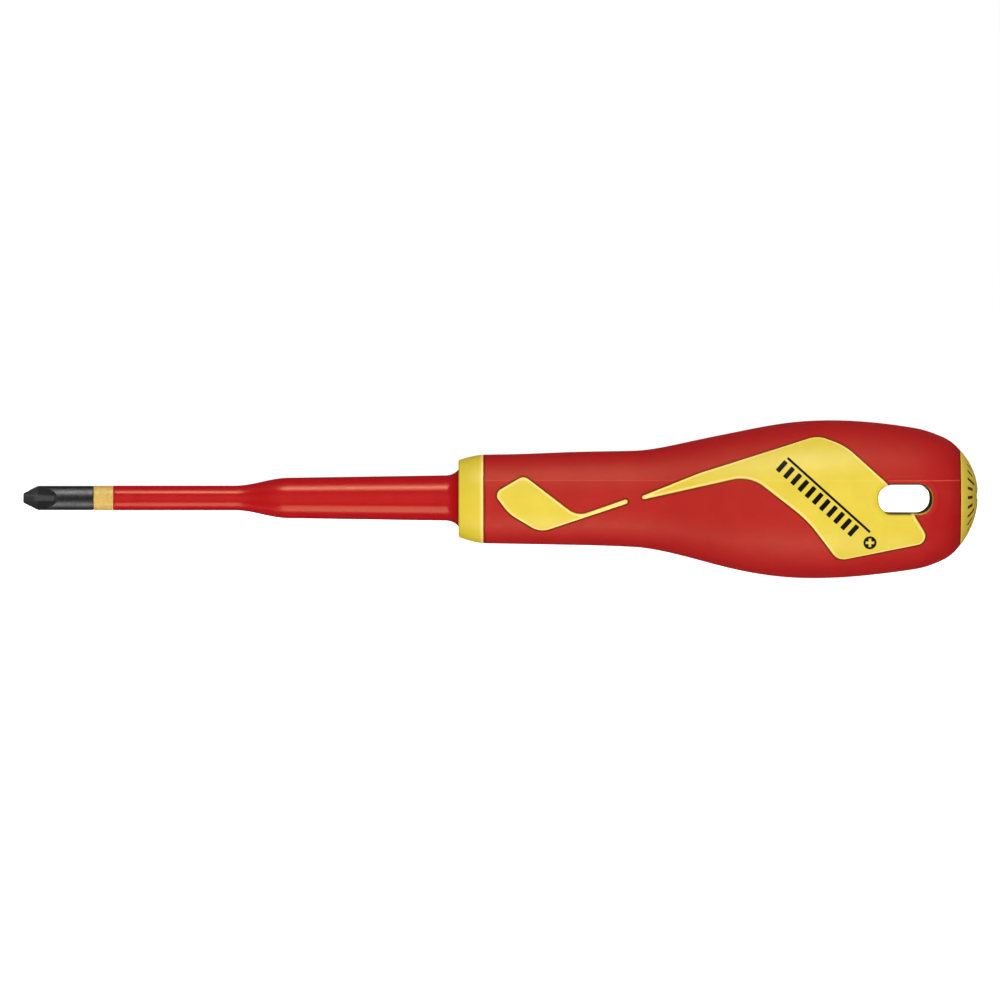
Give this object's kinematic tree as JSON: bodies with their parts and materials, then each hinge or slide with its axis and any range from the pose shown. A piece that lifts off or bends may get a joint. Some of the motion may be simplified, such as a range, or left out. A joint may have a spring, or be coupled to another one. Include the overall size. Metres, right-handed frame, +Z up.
{
  "type": "insulated screwdriver",
  "caption": "Insulated screwdriver: blunt cross tip on a slim stepped blade sleeve, waisted soft-grip handle with side windows and a slot for hanging at the butt.",
  "frame": {"origin": "centre of the blunt end of the driving tip, on the tool's axis", "axes": "+X along the blade from the tip to the butt of the handle; Y through the hanging slot; +Z up when the slot lies level"},
  "size_m": [0.2193, 0.0362, 0.0362],
  "materials": {
    "blackened_steel": "black oxide, satin",
    "yellow_inner_layer": "slightly mottled gloss",
    "red_outer_layer": "gloss",
    "core_plastic": "as moulded",
    "yellow_handle_plastic": "semi-gloss",
    "red_grip_rubber": "fine-grained satin",
    "yellow_cap_plastic": "semi-gloss",
    "black_ink": "printed",
    "brown_ink": "printed"
  },
  "bodies": {
    "root": {"blade": "blackened_steel", "inner_insulation": "yellow_inner_layer", "outer_insulation": "red_outer_layer", "tang_core": "core_plastic", "handle_body": "yellow_handle_plastic", "soft_grip": "red_grip_rubber", "end_cap": "yellow_cap_plastic", "panel_marks": "black_ink", "end_cap_marks": "brown_ink"}
  },
  "joints": []
}
